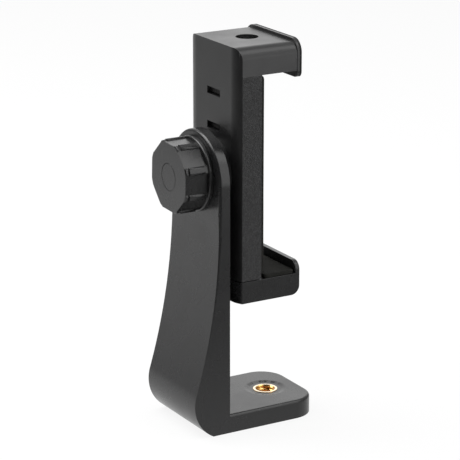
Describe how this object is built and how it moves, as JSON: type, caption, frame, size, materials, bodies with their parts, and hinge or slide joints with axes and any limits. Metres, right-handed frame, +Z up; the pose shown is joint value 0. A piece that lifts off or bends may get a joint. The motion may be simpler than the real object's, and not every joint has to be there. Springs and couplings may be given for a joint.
{
  "type": "tripod phone mount adapter",
  "caption": "Spring phone clamp on a bracket with a flared arm, a turning pivot with a hand knob and a foot with a brass tripod thread.",
  "frame": {"origin": "where the axis of the tripod thread meets the bottom face of the foot", "axes": "+Z up along the arm, +Y from the arm towards the phone side, X across the bracket"},
  "size_m": [0.0324, 0.0465, 0.1244],
  "materials": {
    "black_plastic": "satin black moulding",
    "brass": "bright turned brass",
    "steel": "plain bright steel",
    "nylon": "white nylon",
    "black_rubber": "matte black rubber",
    "foam": "grainy black foam"
  },
  "bodies": {
    "bracket_body": {"bracket": "black_plastic", "tripod_insert": "brass"},
    "clamp": {"clamp_body": "black_plastic", "cover_plate": "black_plastic", "cover_screws": "steel", "pivot_bolt": "steel", "friction_ring": "black_rubber", "back_pad": "foam", "upper_pad": "foam", "captive_nut": "steel", "nut_plate": "black_plastic", "spring_left": "steel", "spring_right": "steel"},
    "knob_body": {"knob": "black_plastic", "knob_insert": "brass", "knob_cap": "black_plastic", "knob_washer": "nylon"},
    "sliding_jaw": {"lower_jaw": "black_plastic", "lower_pad": "foam", "guide_rod_left": "steel", "guide_rod_right": "steel", "rod_screws": "steel", "rod_clips": "steel"}
  },
  "joints": [
    {"name": "clamp_turn", "type": "hinge", "parent": "bracket_body", "child": "clamp", "pos_m": [0, -0.0192, 0.0823], "axis": [0, 1, 0], "continuous": true},
    {"name": "knob_turn", "type": "hinge", "parent": "clamp", "child": "knob_body", "pos_m": [0, -0.0306, 0.0823], "axis": [0, 1, 0], "continuous": true},
    {"name": "jaw_slide", "type": "slide", "parent": "clamp", "child": "sliding_jaw", "axis": [0, 0, -1], "range_m": [0, 0.03], "stiffness_N_per_m": 200, "springref_m": -0.02, "deforming": ["spring_left", "spring_right"]}
  ]
}
